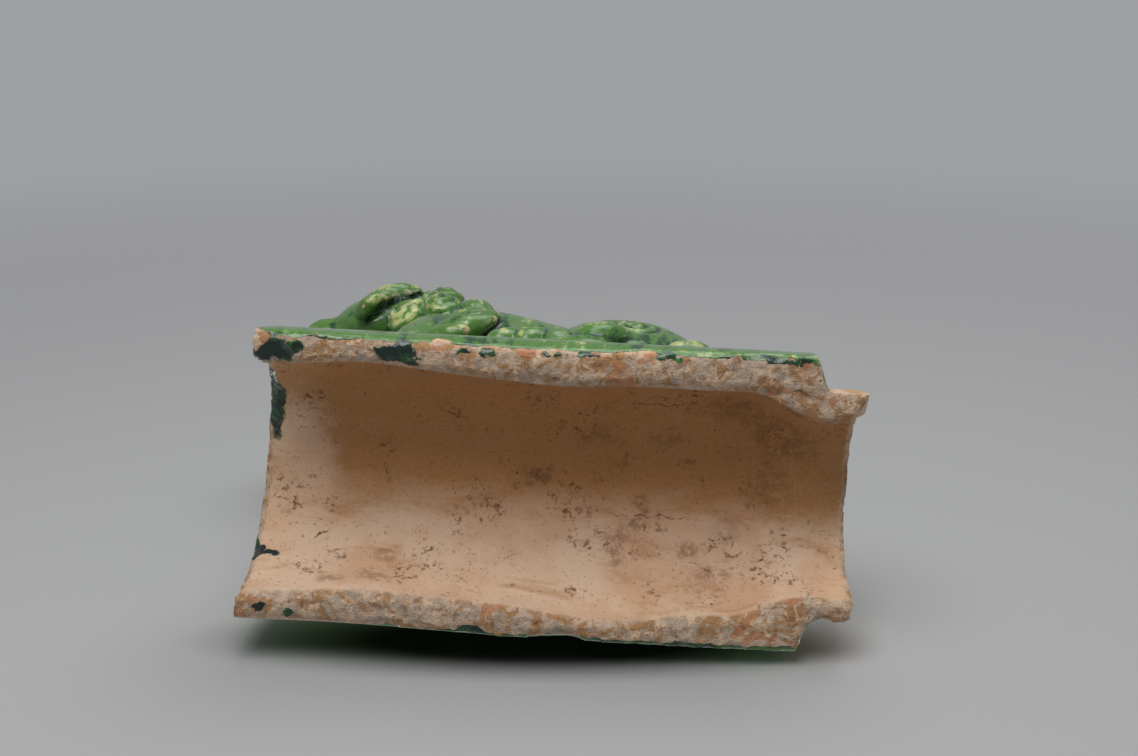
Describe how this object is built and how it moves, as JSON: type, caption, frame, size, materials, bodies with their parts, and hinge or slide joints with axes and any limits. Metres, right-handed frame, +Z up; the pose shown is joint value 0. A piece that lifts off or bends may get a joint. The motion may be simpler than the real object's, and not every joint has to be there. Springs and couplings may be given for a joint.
{
  "type": "roof ornament tile",
  "caption": "Half-round glazed clay ridge tile with a stepped tenon and a seated guardian beast on its crown.",
  "frame": {"origin": "centre of the footprint, on the plane of the two long bedding edges", "axes": "+X along the tile from the open end, which the beast faces, to the tenon; +Z up through the crown and the beast"},
  "size_m": [0.271, 0.125, 0.2498],
  "materials": {
    "glazed_clay": "mottled green lead glaze outside, worn to cream slip on high points; raw buff clay in the barrel, on the long edges and at the tenon"
  },
  "bodies": {
    "root": {"ornament_tile": "glazed_clay"}
  },
  "joints": []
}
